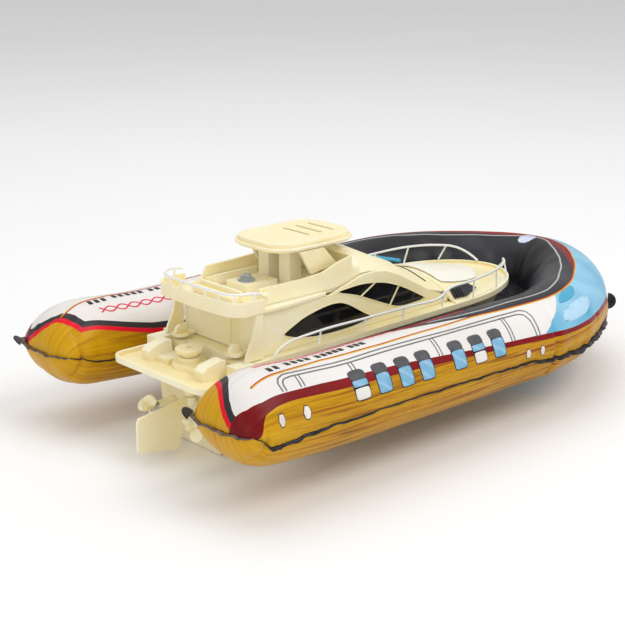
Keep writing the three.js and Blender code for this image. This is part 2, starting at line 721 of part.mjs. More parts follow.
// ---------------------------------------------------------------- rails
// One bent tube with its posts: `path` is the handrail, `feet` are the posts' ends.
function railing(path, feet) {
  const curve = new THREE.CatmullRomCurve3(path.map((p) => new THREE.Vector3(...p)));
  const section = new THREE.Shape();
  section.absarc(0, 0, RAIL.radius, 0, 2 * Math.PI, false);
  const tube = new THREE.ExtrudeGeometry(section, {
    steps: path.length * 4,
    curveSegments: 4,
    extrudePath: curve,
    bevelEnabled: false,
  });
  const posts = feet.map(([foot, at]) => rod(foot, curve.getPointAt(at).toArray(), RAIL.post, 6));
  return joined(tube, ...posts);
}

function sternRail() {
  const top = FLY.level + FLY.floor + FLY.rim + 6.4;
  const foot = FLY.level + FLY.floor + FLY.rim + GAP;
  const side = [[-176, 52.4], [-186, 52], [-195, 49], [-201, 43], [-203.6, 32], [-204.8, 15]];
  const path = [...side.map(([x, y]) => [x, -y, top]), [-205.4, 0, top],
    ...side.reverse().map(([x, y]) => [x, y, top])];
  path[0][2] -= 2;
  path[path.length - 1][2] -= 2;
  const curve = new THREE.CatmullRomCurve3(path.map((p) => new THREE.Vector3(...p)));
  const feet = [0.06, 0.17, 0.28, 0.39, 0.5, 0.61, 0.72, 0.83, 0.94].map((at) => {
    const p = curve.getPointAt(at);
    return [[p.x, p.y, foot], at];
  });
  return railing(path, feet);
}
piece("stern_rail", sternRail(), white);

function bowRail() {
  const foot = (x, y) => [x, y, deckLevel(x) + DECK.rimHeight + 3 * GAP];
  const edge = (x) => deckHalf(x) - 1.6;
  const path = [foot(-172, edge(-172)), [-167, edge(-167), 63], [-158, edge(-158) - 0.4, 67]];
  for (const x of [-120, -70, -20, 18]) path.push([x, edge(x) - 0.6, 70.5 + 0.006 * (x + 120)]);
  path.push([30, edge(30) - 1, 77.5], [62, edge(62) - 1.5, 79], [100, edge(100) - 2, 80.5],
    [126, edge(126) - 3, 80.5], [141, 31, 79], [152, 22, 72], [156, 14, 65.6]);
  const curve = new THREE.CatmullRomCurve3(path.map((p) => new THREE.Vector3(...p)));
  const feet = [0.15, 0.29, 0.42, 0.56, 0.68, 0.79, 0.9].map((at) => {
    const p = curve.getPointAt(at);
    return [foot(p.x - 3, edge(p.x - 3)), at];
  });
  return railing(path, feet);
}
pair("bow_rail", bowRail(), white);

// ---------------------------------------------------------------- turning pieces
function latch(side) {
  const { x, y, top, grip, thickness, gripWidth } = LATCH;
  const cap = drum(x, side * y, top, thickness, 7.6);
  const tongue = across(side, [x, y - 4, top], [x + 12.7, y + 4, top + thickness]);
  const pin = drum(x, side * y, top - 1.4, 2, 2.4);
  const wheel = new THREE.CylinderGeometry(grip, grip, gripWidth, 20)
    .rotateY(Math.PI / 4)
    .translate(x, side * y, top + thickness + 0.6);
  const above = across(side, [x - 20, y - 20, top + thickness - 0.5], [x + 20, y + 20, top + 30]);
  return geometryOf(join(cap, tongue, pin).add(solid(wheel).intersect(solid(above))));
}
piece("latch_port", latch(1), ivory);
piece("latch_starboard", latch(-1), ivory);

function rudderKnob() {
  const { x, knobTop, knobRadius } = RUDDER;
  const disc = join(
    drum(x, 0, knobTop - 3.4, 2.6, knobRadius - 0.6, knobRadius),
    drum(x, 0, knobTop - 1, 1, knobRadius, knobRadius - 1),
    drum(x, 0, PLATFORM.floor + 9, knobTop - PLATFORM.floor - 11, 7.2),
  );
  return geometryOf(cut(disc, drum(x, 0, knobTop - 2.4, 5, 2.3), drum(x, 0, 40, 17, RUDDER.stock + GAP)));
}
piece("rudder_knob", rudderKnob(), ivory);
piece("rudder_stock", drum(RUDDER.x, 0, 12, 44, RUDDER.stock), ivory);

function rudderBlade() {
  const { x, blade, stock } = RUDDER;
  const outline = polygon([[x - 1, 17.5], [x - 9, 17.2], [x - 52, 11], [x - 54, 8], [x - 54.5, -16],
    [x - 53, -18.6], [x - 16, -25], [x - 13.5, -23], [x - 9, -2], [x - 6, 10], [x - 1, 11.5]]);
  const body = plate(outline, -blade / 2, blade / 2);
  const collar = drum(x, 0, 11, 6.6, stock + 1.8);
  const hole = drum(x, 0, 10, 9, stock + GAP / 3);
  return geometryOf(cut(join(body, collar), hole));
}
piece("rudder_blade", rudderBlade(), ivory);

// A hub on the shaft with broad rounded blades, each a twisted flat paddle.
function propeller(side) {
  const { x, y, z, radius, blades, hub, length } = SCREW;
  let whole = join(
    rod([x - length / 2, 0, 0], [x + length / 2, 0, 0], hub, 16),
    rod([x - length / 2 - 2, 0, 0], [x - length / 2 + 0.5, 0, 0], hub * 0.6, 16),
  );
  for (let i = 0; i < blades; i += 1) {
    const paddle = new THREE.CylinderGeometry(5.6, 5.6, 1.6, 20)
      .scale(1, 1, 0.95)
      .rotateZ(Math.PI / 2)
      .rotateZ(side * 0.55)
      .translate(0, 0, radius - 5.6);
    const root = block([-0.8, -2.4, 0], [0.8, 2.4, radius - 6]).rotateZ(side * 0.55);
    const fan = join(paddle.rotateX(0), root);
    const blade = geometryOf(fan).translate(x, 0, 0).rotateX((i * 2 * Math.PI) / blades + 0.5);
    whole = whole.add(solid(blade));
  }
  return geometryOf(cut(whole, rod([x - length / 2 + 1, 0, 0], [x + 9, 0, 0], SHAFT.radius + 0.05, 14)))
    .translate(0, side * y, z);
}
piece("propeller_port", propeller(1), ivory);
piece("propeller_starboard", propeller(-1), ivory);
pair("propeller_shaft", shaftLine(SHAFT.radius, SCREW.x - 3, MOTOR.aft - 0.6), steel);

function sternTube() {
  const outside = solid(shaftLine(SHAFT.tube, -221, -150));
  return geometryOf(cut(outside, shaftLine(SHAFT.radius + 0.3, -230, -140)));
}
pair("stern_tube", sternTube(), ivory);

// ---------------------------------------------------------------- inside the hull
function motor() {
  const { aft, fore, radius } = MOTOR;
  return joined(
    shaftLine(radius, aft, fore, 1, 24),
    shaftLine(3.4, fore - 0.5, fore + 2.4, 1, 16),
  );
}
pair("motor", motor(), steel);

function batteryTray() {
  const { aft, fore, half, base, wall, height } = TRAY;
  const outside = solid(block([aft, -half, base], [fore, half, base + height]));
  const room = block([aft + wall, -half + wall, base + wall], [fore - wall, half - wall, base + 60]);
  return geometryOf(cut(outside, room));
}
piece("battery_tray", batteryTray(), darkGrey);

function batteryPack() {
  const z = TRAY.base + TRAY.wall + 8;
  const cell = (y) => rod([-90, y, z], [-22, y, z], 7.4, 24);
  return joined(cell(-7.3), cell(7.3), block([-89.5, -7, z - 6.6], [-22.5, 7, z + 6.6]));
}
piece("battery_pack", batteryPack(), blue);
piece(
  "battery_cover",
  block([TRAY.aft, -TRAY.half, TRAY.base + TRAY.height + GAP],
    [TRAY.fore, TRAY.half, TRAY.base + TRAY.height + 2]),
  darkGrey,
);
piece("control_board", block([10, -18, 2], [56, 18, 3.6]), green);

function slideSwitch() {
  const body = block([62, -5, 2], [82, 5, 9]);
  const slotTool = block([66, -2.2, 6], [78, 2.2, 12]);
  return geometryOf(cut(solid(body), slotTool));
}
piece("switch_housing", slideSwitch(), darkGrey);
piece("power_switch", block([67, -1.8, 6.4], [71.5, 1.8, 13]), black);

export default boat;
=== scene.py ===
"""Looks of the toy motor yacht and its printed inflatable float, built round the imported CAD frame.

Lengths in the tables are millimetres. Heights in them are measured from the underside of the
float, and mm() turns them into metres in the row frame, whose z = 0 is the yacht's keel.
A place on the float is given by u, the distance along its centreline from the tip of the bow
(starboard negative, port positive), and phi, the angle round the tube in degrees: 0 outboard,
90 on top, 180 inboard.
"""

import json
import math

import bmesh
import bpy
import numpy as np
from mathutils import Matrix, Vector


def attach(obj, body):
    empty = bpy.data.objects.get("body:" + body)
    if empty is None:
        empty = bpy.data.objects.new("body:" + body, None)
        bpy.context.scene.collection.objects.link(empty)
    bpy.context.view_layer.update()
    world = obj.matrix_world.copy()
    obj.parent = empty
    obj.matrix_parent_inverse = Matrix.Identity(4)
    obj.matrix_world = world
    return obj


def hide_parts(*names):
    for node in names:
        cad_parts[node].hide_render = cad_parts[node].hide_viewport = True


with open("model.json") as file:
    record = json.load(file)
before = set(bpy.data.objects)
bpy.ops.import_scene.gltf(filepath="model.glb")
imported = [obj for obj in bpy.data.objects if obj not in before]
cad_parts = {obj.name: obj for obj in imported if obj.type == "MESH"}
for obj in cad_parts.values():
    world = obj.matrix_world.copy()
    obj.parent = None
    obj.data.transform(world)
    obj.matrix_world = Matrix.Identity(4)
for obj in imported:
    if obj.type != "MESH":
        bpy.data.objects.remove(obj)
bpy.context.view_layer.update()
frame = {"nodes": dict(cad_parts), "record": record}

MM = 0.001
KEEL = 27.0  # the keel below the underside of the float


def mm(x, y, z):
    return Vector((x * MM, y * MM, (z + KEEL) * MM))


# ------------------------------------------------------------------ node materials
class Nodes:
    """A short way to write a node tree."""

    def __init__(self, name):
        self.material = bpy.data.materials.new(name)
        self.material.use_nodes = True
        self.tree = self.material.node_tree
        self.shader = self.tree.nodes["Principled BSDF"]

    def add(self, kind, **settings):
        node = self.tree.nodes.new(kind)
        for key, value in settings.items():
            setattr(node, key, value)
        return node

    def link(self, source, target):
        self.tree.links.new(source, target)

    def put(self, node, socket, value):
        if hasattr(value, "is_linked"):
            self.link(value, node.inputs[socket])
        else:
            node.inputs[socket].default_value = value

    def math(self, operation, a, b=0.0, c=0.0):
        node = self.add("ShaderNodeMath", operation=operation)
        for i, value in enumerate((a, b, c)):
            self.put(node, i, value)
        return node.outputs[0]

    def mix(self, factor, a, b):
        node = self.add("ShaderNodeMix", data_type="RGBA")
        self.put(node, 0, factor)
        self.put(node, 6, a)
        self.put(node, 7, b)
        return node.outputs[2]

    def noise(self, vector, scale, detail=3.0, distortion=0.0, roughness=0.5):
        node = self.add("ShaderNodeTexNoise")
        if vector is not None:
            self.link(vector, node.inputs["Vector"])
        node.inputs["Scale"].default_value = scale
        node.inputs["Detail"].default_value = detail
        node.inputs["Roughness"].default_value = roughness
        node.inputs["Distortion"].default_value = distortion
        return node.outputs["Fac"]

    def ramp(self, factor, stops, constant=False):
        node = self.add("ShaderNodeValToRGB")
        if constant:
            node.color_ramp.interpolation = "CONSTANT"
        elements = node.color_ramp.elements
        while len(elements) < len(stops):
            elements.new(0.5)
        for element, (place, colour) in zip(elements, stops):
            element.position = place
            element.color = colour
        self.link(factor, node.inputs[0])
        return node.outputs[0]

    def object_place(self):
        return self.add("ShaderNodeTexCoord").outputs["Object"]

    def bump(self, height, strength, distance):
        node = self.add("ShaderNodeBump")
        node.inputs["Strength"].default_value = strength
        node.inputs["Distance"].default_value = distance
        self.link(height, node.inputs["Height"])
        self.link(node.outputs[0], self.shader.inputs["Normal"])

    def spread(self, factor, low, high, from_low=0.3, from_high=0.7):
        node = self.add("ShaderNodeMapRange")
        self.link(factor, node.inputs[0])
        for i, value in enumerate((from_low, from_high, low, high)):
            node.inputs[i + 1].default_value = value
        return node.outputs[0]


def colour(r, g, b):
    """An sRGB colour of 0 to 255 as the linear colour that the nodes take."""
    out = []
    for v in (r, g, b):
        c = v / 255
        out.append(c / 12.92 if c <= 0.04045 else ((c + 0.055) / 1.055) ** 2.4)
    return (*out, 1.0)


def moulded(name, base, deep, pale, rough=0.38, subsurface=0.0, scatter=(1, 1, 1), grain=0.12):
    """Moulded plastic: faint flow marks, a fine satin grain and convex edges a little paler."""
    n = Nodes(name)
    place = n.object_place()
    flow = n.noise(place, 14.0, 2.0, 1.2)
    fine = n.noise(place, 900.0, 2.0)
    tone = n.mix(n.spread(flow, 0.0, 1.0), deep, base)
    # convex edges, found by pointiness, are mixed towards the pale colour
    edge = n.add("ShaderNodeNewGeometry").outputs["Pointiness"]
    paler_edges = n.mix(n.spread(edge, 0.0, 0.75, 0.505, 0.56), tone, pale)
    n.link(paler_edges, n.shader.inputs["Base Color"])
    n.link(n.spread(n.noise(place, 60.0, 3.0), rough - 0.05, rough + 0.07), n.shader.inputs["Roughness"])
    if subsurface:
        n.shader.inputs["Subsurface Weight"].default_value = subsurface
        n.shader.inputs["Subsurface Radius"].default_value = scatter
        n.shader.inputs["Subsurface Scale"].default_value = 0.003
    n.bump(fine, grain, 0.0002)
    return n.material


IVORY = moulded("ivory_plastic", colour(249, 237, 192), colour(246, 229, 172), colour(254, 248, 224),
                0.4, 0.25, (1.0, 0.72, 0.36))
WHITE = moulded("white_plastic", colour(240, 240, 238), colour(228, 229, 230), colour(250, 250, 250), 0.3)
PAD = moulded("pad_plastic", colour(246, 243, 228), colour(240, 235, 216), colour(252, 250, 244), 0.45,
              0.15, (1.0, 0.8, 0.5))
GLOSS_BLACK = moulded("black_plastic", colour(9, 9, 10), colour(14, 14, 16), colour(30, 30, 32), 0.12,
                      grain=0.04)
DARK = moulded("dark_plastic", colour(52, 52, 55), colour(38, 38, 42), colour(82, 82, 86), 0.5)
BLUE = moulded("blue_plastic", colour(40, 96, 190), colour(24, 70, 160), colour(90, 140, 215), 0.35)


def brushed_steel():
    n = Nodes("steel")
    place = n.object_place()
    stretch = n.add("ShaderNodeMapping")
    n.link(place, stretch.inputs["Vector"])
    stretch.inputs["Scale"].default_value = (40.0, 900.0, 900.0)
    marks = n.noise(stretch.outputs[0], 1.0, 2.0)
    n.link(n.mix(marks, colour(150, 152, 156), colour(205, 207, 210)), n.shader.inputs["Base Color"])
    n.shader.inputs["Metallic"].default_value = 1.0
    n.link(n.spread(marks, 0.22, 0.4), n.shader.inputs["Roughness"])
    n.bump(marks, 0.15, 0.0001)
    return n.material


def clear_plastic():
    n = Nodes("clear_plastic")
    place = n.object_place()
    n.link(n.mix(n.noise(place, 160.0), colour(205, 222, 240), colour(236, 244, 250)),
           n.shader.inputs["Base Color"])
    n.shader.inputs["Transmission Weight"].default_value = 0.85
    n.shader.inputs["IOR"].default_value = 1.46
    n.link(n.spread(n.noise(place, 300.0), 0.05, 0.16), n.shader.inputs["Roughness"])
    return n.material


def circuit_board():
    n = Nodes("circuit_green")
    place = n.object_place()
    lines = n.add("ShaderNodeTexBrick")
    n.link(place, lines.inputs["Vector"])
    lines.inputs["Scale"].default_value = 120.0
    lines.inputs["Color1"].default_value = colour(24, 92, 50)
    lines.inputs["Color2"].default_value = colour(32, 108, 58)
    lines.inputs["Mortar"].default_value = colour(96, 150, 92)
    n.link(lines.outputs["Color"], n.shader.inputs["Base Color"])
    n.link(n.spread(n.noise(place, 200.0), 0.35, 0.5), n.shader.inputs["Roughness"])
    return n.material


STEEL = brushed_steel()
CLEAR = clear_plastic()
GREEN = circuit_board()


# ------------------------------------------------------------------ the float's surface
AFT, BOW, RADIUS, OFFSET = -279.0, 271.6, 37.5, 120.5
BOW_START, BOW_POWER = 82.0, 1.63
END_HALF, END_LENGTH, END_BEND = 34.0, 46.0, 8.0
ROUND = RADIUS * math.pi / 180  # millimetres of print for each degree round the tube


def centreline():
    """Points of the starboard half, from the tip of the bow aft, and the distance along it."""
    reach = BOW - RADIUS - BOW_START
    angle = np.linspace(math.pi / 2, 0, 3000)
    x = BOW_START + reach * np.sin(angle) ** (2 / BOW_POWER)
    y = OFFSET * np.cos(angle) ** (2 / BOW_POWER)
    leg = np.linspace(BOW_START, AFT, 2000)[1:]
    points = np.r_[np.c_[x, y], np.c_[leg, np.full(len(leg), OFFSET)]]
    run = np.r_[0, np.cumsum(np.linalg.norm(np.diff(points, axis=0), axis=1))]
    return points, run


_points, _run = centreline()
LENGTH = float(_run[-1])
_u = np.arange(-LENGTH, LENGTH + 0.5, 1.0)
_path = np.c_[np.interp(np.abs(_u), _run, _points[:, 0]),
              np.sign(_u) * np.interp(np.abs(_u), _run, _points[:, 1])]
_kernel = np.exp(-0.5 * (np.arange(-24, 25) / 8.0) ** 2)
_kernel /= _kernel.sum()
_padded = np.r_[2 * _path[0] - _path[24:0:-1], _path, 2 * _path[-1] - _path[-2:-26:-1]]
_path = np.c_[np.convolve(_padded[:, 0], _kernel, "valid"), np.convolve(_padded[:, 1], _kernel, "valid")]
_way = np.gradient(_path, axis=0)
_way /= np.linalg.norm(_way, axis=1)[:, None]


def table(u, rows):
    """A value by distance from the bow; rows are (distance, value)."""
    rows = sorted(rows)
    return np.interp(np.abs(u), [r[0] for r in rows], [r[1] for r in rows])


SEAM = [(0, -10), (60, -14), (130, -18), (190, -16), (226, -13), (250, -8), (305, -7), (344, -5),
        (414, -4), (480, -5), (505, -7), (530, -14), (546, -18), (556, -10), (568, 0)]
INNER_SEAM = [(300, 182), (470, 188), (515, 193), (535, 192), (551, 187), (568, 181)]
MAROON_TOP = [(0, 16), (172, 17), (197, 18), (221, 21), (244, 23.5), (284, 27), (332, 32), (405, 41),
              (447, 44), (488, 45), (526, 43.5), (545, 44), (557, 50), (563, 58), (568, 62)]
MAROON_LOW = [(0, 8), (166, 10), (197, 12), (223, 14), (284, 20), (335, 24), (409, 30), (452, 32),
              (492, 33), (515, 33), (536, 31), (550, 28), (556, 14), (561, -2), (568, -4)]
BORDER = [(0, 86), (37, 84), (79, 85.5), (127, 80.5), (154, 75), (182, 73), (206, 72.5), (237, 73),
          (267, 75), (299, 79), (337, 89), (372, 100), (380, 101)]
DARK_EDGE = [(0, 90), (12, 93), (27, 97), (46, 98), (85, 94), (129, 81), (154, 75.5), (182, 73.5)]
DARK_END = [(60, 402), (90, 392), (103, 378), (140, 366), (170, 352), (200, 330), (230, 300)]
INBOARD = [(300, 166), (388, 162), (440, 156), (473, 152), (498, 145), (520, 138), (551, 129),
           (568, 120)]
WHITE_END = [(20, 565), (50, 563.5), (62, 563), (70, 561.5), (80, 558.5), (96, 551), (105, 546),
             (118, 541), (160, 530)]
BLUE_END = [(10, 243), (23, 234), (31, 225), (47, 211), (69, 196.5), (80, 190)]
CREASES = [  # u, phi where it starts and ends, depth and width in mm, lean in mm for each degree
    (-221, -80, 72, 3.4, 3.0, 0.03), (221, -80, 72, 3.0, 3.2, -0.02), (-160, -30, 30, 1.2, 3.0, 0.05),
    (-96, -40, 26, 1.3, 3.2, -0.04), (96, -40, 26, 1.3, 3.2, 0.04), (150, -34, 30, 1.2, 3.0, -0.05),
    (-552, -70, 26, 4.2, 3.4, 0.0), (-552, 150, 240, 3.6, 3.4, 0.0), (552, -60, 30, 3.6, 3.4, 0.0),
    (552, 128, 250, 4.4, 3.2, 0.0), (-535, -40, 16, 1.1, 3.4, 0.08), (535, 160, 215, 1.4, 3.6, 0.08),
]


def wave(t, seed):
    """A smooth uneven wave of about unit height."""
    return (np.sin(t + seed) + 0.7 * np.sin(1.73 * t + 2.1 * seed)
            + 0.5 * np.sin(2.91 * t + 0.7 * seed)) / 1.6


def over_end(u):
    """The length of film from the sealed end to u, over the top of the pillow it closes in."""
    turn = np.linspace(0, math.pi / 2, 200)
    pace = np.hypot(END_LENGTH * np.sin(turn), RADIUS * np.cos(turn))
    reach = np.r_[0, np.cumsum((pace[1:] + pace[:-1]) / 2 * np.diff(turn))]
    left = LENGTH - np.abs(u)
    inside = np.interp(left, END_LENGTH * (1 - np.cos(turn)), reach)
    return np.where(left < END_LENGTH, inside, reach[-1] + left - END_LENGTH)


def rocker(u):
    """How far the bow and the pontoons' ends bend up under the pull of the film."""
    bow = np.clip((225 - np.abs(u)) / 110, 0, 1)
    end = np.clip((np.abs(u) - 455) / 105, 0, 1)
    return 3.8 * bow * bow * (3 - 2 * bow) + 5.0 * end * end * (3 - 2 * end)


def apart(phi, centre):
    return (phi - centre + 180) % 360 - 180


def relief(u, phi):
    """How far the inflated film stands in or out of the plain tube, in millimetres."""
    seam = table(u, SEAM)
    outer = apart(phi, seam)
    inner = apart(phi, table(u, INNER_SEAM))
    end = np.clip((np.abs(u) - (LENGTH - 58)) / 58, 0, 1)
    bend = np.clip((300 - np.abs(u)) / 90, 0, 1)
    out = -0.9 * np.exp(-(outer / 5.0) ** 2) - 0.9 * np.exp(-(inner / 5.0) ** 2)
    pucker = 0.22 + 0.5 * bend + 0.9 * end
    out += pucker * wave(u / 2.6, 0.3) * np.exp(-(outer / 16.0) ** 2)
    out += (0.25 + 0.9 * end) * wave(u / 3.3, 1.9) * np.exp(-(inner / 18.0) ** 2)
    out += bend * 0.8 * wave(u / 9.0, 2.2) * np.exp(-(outer / 40.0) ** 2)
    folds = np.clip((215 - np.abs(u)) / 130, 0, 1) * np.exp(-(apart(phi, 168) / 48.0) ** 2)
    out += folds * (1.9 * wave(u / 13.0 + phi / 60, 0.9) - 0.6)
    out += 0.25 * wave(u / 31.0 + phi / 55, 1.1)
    pleats = end ** 1.7 * np.abs(np.sin(np.radians(phi))) ** 0.5
    out += pleats * (1.5 * wave(phi / 9.0 + u / 40.0, 0.5) + 0.9 * wave(phi / 4.2, 1.4))
    for at, start, stop, depth, width, lean in CREASES:
        middle = (start + stop) / 2
        span = (stop - start) / 2
        off = apart(phi, middle)
        fade = np.clip(1 - (off / span) ** 2, 0, 1) ** 0.8
        across = u - at - lean * off
        out += fade * depth * (0.35 * np.exp(-(across / (3.2 * width)) ** 2)
                               - np.exp(-np.abs(across / width) ** 1.4))
    return out


def surface(u, phi, lift=0.0):
    """Points on the float in metres, `lift` millimetres outside its film."""
    u, phi = np.broadcast_arrays(np.asarray(u, float), np.asarray(phi, float))
    at = [np.interp(u, _u, _path[:, i]) for i in (0, 1)]
    way = [np.interp(u, _u, _way[:, i]) for i in (0, 1)]
    run = np.clip(LENGTH - np.abs(u), 0, END_LENGTH)
    closing = 1 - run / END_LENGTH
    high = np.maximum(1.0, RADIUS * np.sqrt(1 - closing ** 2))
    wide = END_HALF + (RADIUS - END_HALF) * np.sqrt(1 - closing ** 3)
    turn = np.radians(phi)
    room = np.clip(high / RADIUS, 0.25, 1)
    stand = relief(u, phi) * room + lift
    out = (wide + stand) * np.cos(turn)
    ahead = END_BEND * closing * np.abs(np.cos(turn)) ** 4
    x = at[0] + way[1] * out + ahead
    y = at[1] - way[0] * out
    z = RADIUS + (high + stand) * np.sin(turn) + rocker(u)
    return np.stack([x * MM, y * MM, (z + KEEL) * MM], -1)


def zones(u, phi):
    """The distances in millimetres from each point of the print to the edges of its zones."""
    s = np.abs(u)
    top, low = table(u, MAROON_TOP), table(u, MAROON_LOW)
    wrapped = apart(phi, 90) + 90  # -90 to 270
    above = (wrapped - top) * ROUND
    below = (table(u, INBOARD) - wrapped) * ROUND
    aft = over_end(u) - over_end(np.interp(wrapped, *zip(*WHITE_END)))
    deck = np.minimum(below, np.minimum(aft * 0.72, 30.0))
    dark_end = (np.interp(wrapped, *zip(*DARK_END)) - s) / 2.2
    border = table(u, BORDER)
    dark = np.minimum((wrapped - border) * ROUND, dark_end)
    dark = np.minimum(dark, (table(u, [(0, 196), (300, 196), (330, 190)]) - wrapped) * ROUND + 4)
    ink = np.where(s < 182, (wrapped - table(u, DARK_EDGE)) * ROUND, 9.0)
    blue = (np.interp(wrapped, *zip(*BLUE_END)) - s) * 0.8
    return {
        "print_above": above,
        "print_band": (wrapped - low) / np.maximum(top - low, 1.0),
        "print_deck": deck,
        "print_dark": dark,
        "print_ink": ink,
        "print_blue": blue,
        "print_run": s,
        "print_round": wrapped * ROUND,
    }


def printed_film():
    """The float's printed film: wood grain below, a maroon band, and white, blue and dark zones."""
    n = Nodes("printed_film")

    def read(name):
        return n.add("ShaderNodeAttribute", attribute_name=name).outputs["Fac"]

    def over(name, edge=0.0):
        return n.math("GREATER_THAN", read(name) if isinstance(name, str) else name, edge)

    run, about = read("print_run"), read("print_round")
    grain = n.add("ShaderNodeCombineXYZ")
    n.link(n.math("MULTIPLY", run, 0.0046), grain.inputs[0])
    n.link(n.math("MULTIPLY", about, 0.115), grain.inputs[1])
    fine = n.add("ShaderNodeCombineXYZ")
    n.link(n.math("MULTIPLY", run, 0.006), fine.inputs[0])
    n.link(n.math("MULTIPLY", about, 0.5), fine.inputs[1])
    broad = n.noise(grain.outputs[0], 2.2, 4.0, 0.5, 0.6)
    hairs = n.noise(fine.outputs[0], 1.6, 3.0, 0.3, 0.65)
    wood = n.ramp(broad, [(0.30, colour(118, 66, 0)), (0.42, colour(172, 116, 0)),
                          (0.52, colour(200, 150, 2)), (0.62, colour(182, 126, 0)),
                          (0.72, colour(220, 172, 30))])
    hair = n.ramp(hairs, [(0.36, (1, 1, 1, 1)), (0.47, (0, 0, 0, 1))])
    wood = n.mix(n.math("MULTIPLY", hair, 0.42), wood, colour(118, 60, 0))
    red_hair = n.ramp(n.noise(fine.outputs[0], 0.75, 2.0, 0.2), [(0.34, (1, 1, 1, 1)), (0.39, (0, 0, 0, 1))])
    wood = n.mix(n.math("MULTIPLY", red_hair, 0.75), wood, colour(134, 14, 8))

    # painted light: near the pontoons' ends the wood is lightened towards its sunlit yellow
    sunlit_end = n.spread(n.math("ABSOLUTE", run), 0.0, 0.5, 470.0, 560.0)
    wood = n.mix(sunlit_end, wood, colour(226, 174, 8))

    film = n.noise(n.object_place(), 9.0, 2.0)
    white = n.mix(n.spread(film, 0.0, 1.0), colour(226, 220, 215), colour(236, 233, 230))
    maroon = n.mix(n.spread(film, 0.0, 1.0), colour(104, 2, 4), colour(136, 0, 12))
    sky = n.ramp(n.noise(n.object_place(), 22.0, 1.0, 0.4),
                 [(0.34, colour(88, 168, 204)), (0.48, colour(126, 188, 218)), (0.68, colour(150, 203, 230))])
    dark = n.ramp(n.noise(n.object_place(), 12.0, 1.0),
                  [(0.3, colour(26, 25, 28)), (0.5, colour(40, 39, 43)), (0.72, colour(62, 61, 66))])

    deck = read("print_deck")
    paint = wood
    rim = n.mix(n.math("GREATER_THAN", deck, -5.2), colour(226, 8, 40), colour(50, 47, 49))
    rim = n.mix(n.math("GREATER_THAN", deck, 0.0), rim, white)
    upper = n.math("MULTIPLY", over("print_above"), n.math("GREATER_THAN", deck, -9.2))
    paint = n.mix(upper, paint, rim)
    bow = n.math("MULTIPLY", over("print_above"), over("print_blue"))
    paint = n.mix(bow, paint, sky)
    dark_film = n.mix(over("print_ink"), maroon, dark)
    paint = n.mix(over("print_dark"), paint, dark_film)
    band = read("print_band")
    in_band = n.math("MULTIPLY", n.math("GREATER_THAN", band, 0.0), n.math("LESS_THAN", band, 1.0))
    paint = n.mix(in_band, paint, maroon)
    n.link(paint, n.shader.inputs["Base Color"])
    n.link(n.spread(film, 0.3, 0.42), n.shader.inputs["Roughness"])
    n.shader.inputs["Specular IOR Level"].default_value = 0.22
    crinkle = n.noise(n.object_place(), 140.0, 3.0, 0.6)
    n.bump(crinkle, 0.12, 0.0006)
    return n.material


PRINT = printed_film()


def ink(name, first, second=None, rough=0.34, streak=0.0, pale=None):
    """A printed patch: slightly uneven ink on film, with pale diagonal streaks where asked."""
    n = Nodes(name)
    place = n.object_place()
    tone = n.mix(n.spread(n.noise(place, 120.0, 2.0), 0.0, 1.0), first, second or first)
    if streak:
        bars = n.add("ShaderNodeTexWave", wave_type="BANDS", bands_direction="DIAGONAL")
        n.link(place, bars.inputs["Vector"])
        bars.inputs["Scale"].default_value = streak
        bars.inputs["Distortion"].default_value = 2.0
        tone = n.mix(n.spread(bars.outputs["Fac"], 0.0, 0.55, 0.72, 0.9), tone, pale)
    n.link(tone, n.shader.inputs["Base Color"])
    n.link(n.spread(n.noise(place, 60.0), rough - 0.05, rough + 0.06), n.shader.inputs["Roughness"])
    n.shader.inputs["Specular IOR Level"].default_value = 0.22
    n.bump(n.noise(place, 140.0, 3.0, 0.6), 0.1, 0.0004)
    return n.material


INK_BLACK = ink("ink_black", colour(26, 24, 26), colour(38, 36, 38))
INK_GREY = ink("ink_grey", colour(112, 110, 112), colour(128, 126, 126))
INK_LINE = ink("ink_line", colour(176, 174, 176), colour(196, 194, 194))
INK_RED = ink("ink_red", colour(196, 8, 26), colour(176, 6, 22))
INK_PINK = ink("ink_pink", colour(232, 26, 74), colour(222, 38, 84))
INK_YELLOW = ink("ink_yellow", colour(238, 190, 20), colour(228, 176, 12))
INK_AWNING = ink("ink_awning", colour(80, 80, 83), colour(94, 94, 97))
INK_PANE = ink("ink_pane", colour(118, 172, 206), colour(134, 184, 214), streak=42.0,
               pale=colour(166, 202, 226))
INK_WHITE = ink("ink_white", colour(226, 220, 214), colour(234, 230, 226))
# painted highlight: a pale bluish patch standing for the soft gloss on the dark film at the tip of the bow
INK_BOW_HIGHLIGHT = ink("ink_painted_bow_highlight", colour(196, 208, 232), colour(214, 222, 240))
INK_GLEAM = ink("ink_gleam", colour(184, 220, 242), colour(172, 212, 236))
INK_DEEP = ink("ink_deep", colour(76, 166, 200), colour(84, 172, 206))
PEARL = ink("pearl", colour(214, 204, 196), colour(240, 234, 226), rough=0.25)
SEAM_BLACK = ink("seam_black", colour(24, 23, 26), colour(52, 51, 56), rough=0.3)
SEAM_GREY = ink("seam_grey", colour(120, 104, 92), colour(86, 74, 66), rough=0.34)


# ------------------------------------------------------------------ building meshes
def new_piece(name, points, faces, material, smooth=True, body="boat"):
    mesh = bpy.data.meshes.new(name)
    mesh.from_pydata([tuple(p) for p in points], [], faces)
    mesh.validate()
    if smooth:
        for polygon in mesh.polygons:
            polygon.use_smooth = True
    piece = bpy.data.objects.new(name, mesh)
    bpy.context.scene.collection.objects.link(piece)
    for m in material if isinstance(material, (list, tuple)) else [material]:
        mesh.materials.append(m)
    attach(piece, body)
    return piece


def modifier(piece, kind, name, **settings):
    made = piece.modifiers.new(name, kind)
    for key, value in settings.items():
        setattr(made, key, value)
    return made


